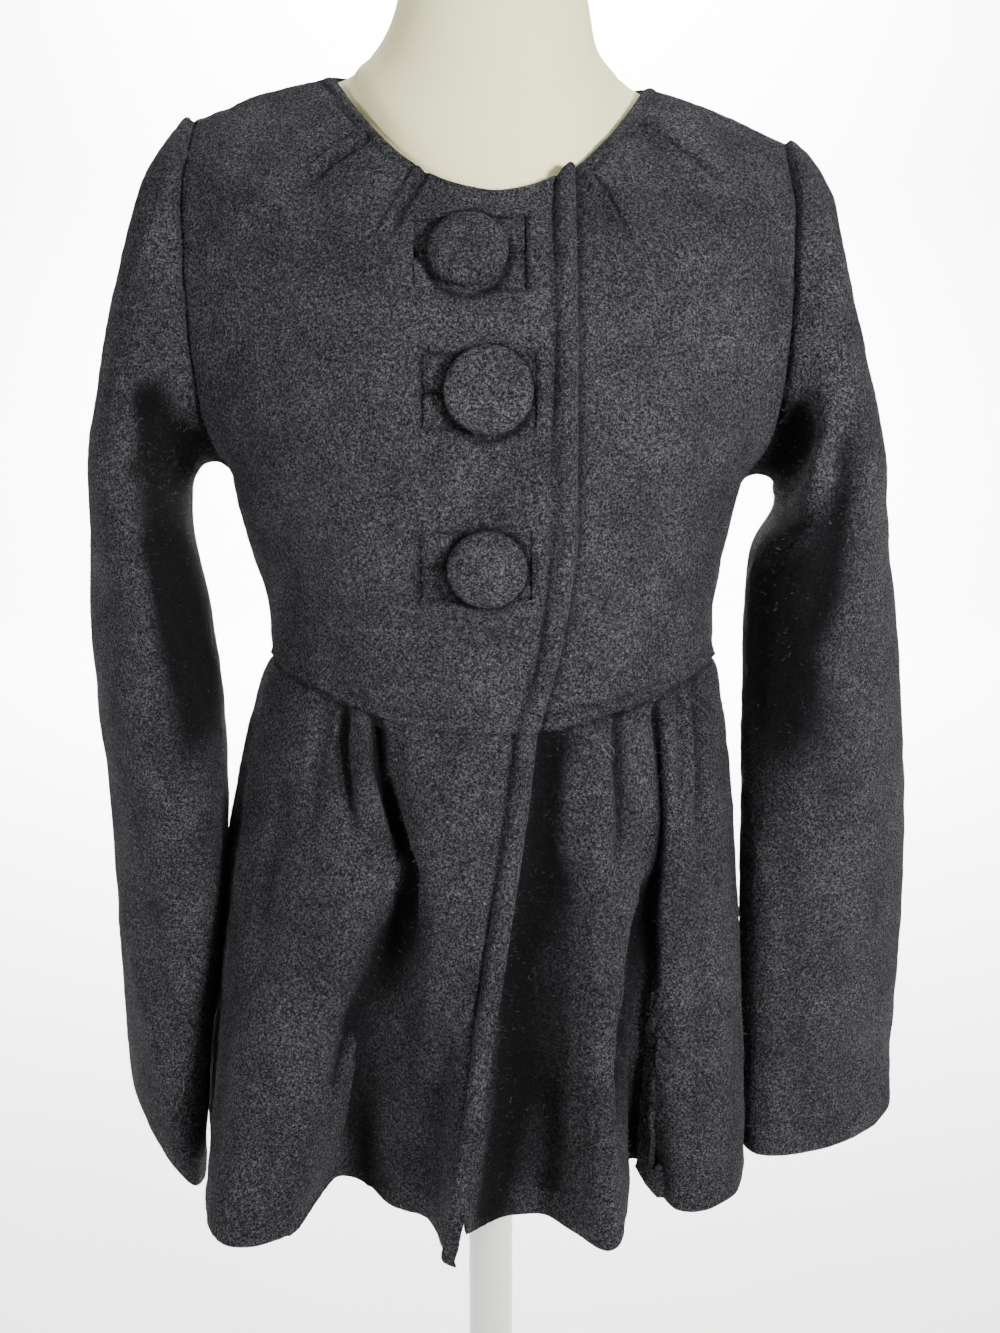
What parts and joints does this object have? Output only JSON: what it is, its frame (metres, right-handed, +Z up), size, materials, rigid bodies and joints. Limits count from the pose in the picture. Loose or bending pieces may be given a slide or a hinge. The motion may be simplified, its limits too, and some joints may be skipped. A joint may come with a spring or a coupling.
{
  "type": "peplum coat on a dress form",
  "caption": "Fitted collarless coat with a flared pleated peplum, long sleeves and large covered buttons, worn by a limbless dress form on a round-based stand.",
  "frame": {"origin": "centre of the underside of the stand's round base", "axes": "+Z up, the coat's front faces -Y, +X to the wearer's left"},
  "size_m": [0.5089, 0.323, 1.0103],
  "materials": {
    "boiled_wool": "matte",
    "covered_button": "matte",
    "form_jersey": "matte",
    "stand_enamel": "satin"
  },
  "bodies": {
    "root": {"front_right_bodice": "boiled_wool", "front_left_bodice": "boiled_wool", "back_bodice": "boiled_wool", "front_right_peplum": "boiled_wool", "front_left_peplum": "boiled_wool", "back_peplum": "boiled_wool", "sleeve_right": "boiled_wool", "sleeve_left": "boiled_wool", "welt_top_upper": "boiled_wool", "welt_top_lower": "boiled_wool", "welt_middle_upper": "boiled_wool", "welt_middle_lower": "boiled_wool", "welt_bottom_upper": "boiled_wool", "welt_bottom_lower": "boiled_wool", "tuck_right_outer": "boiled_wool", "tuck_right_inner": "boiled_wool", "tuck_left_inner": "boiled_wool", "tuck_left_outer": "boiled_wool", "button_top": "covered_button", "button_middle": "covered_button", "button_bottom": "covered_button", "form_body": "form_jersey", "form_neck_cap": "form_jersey", "form_pole": "stand_enamel", "form_base": "stand_enamel"}
  },
  "joints": []
}
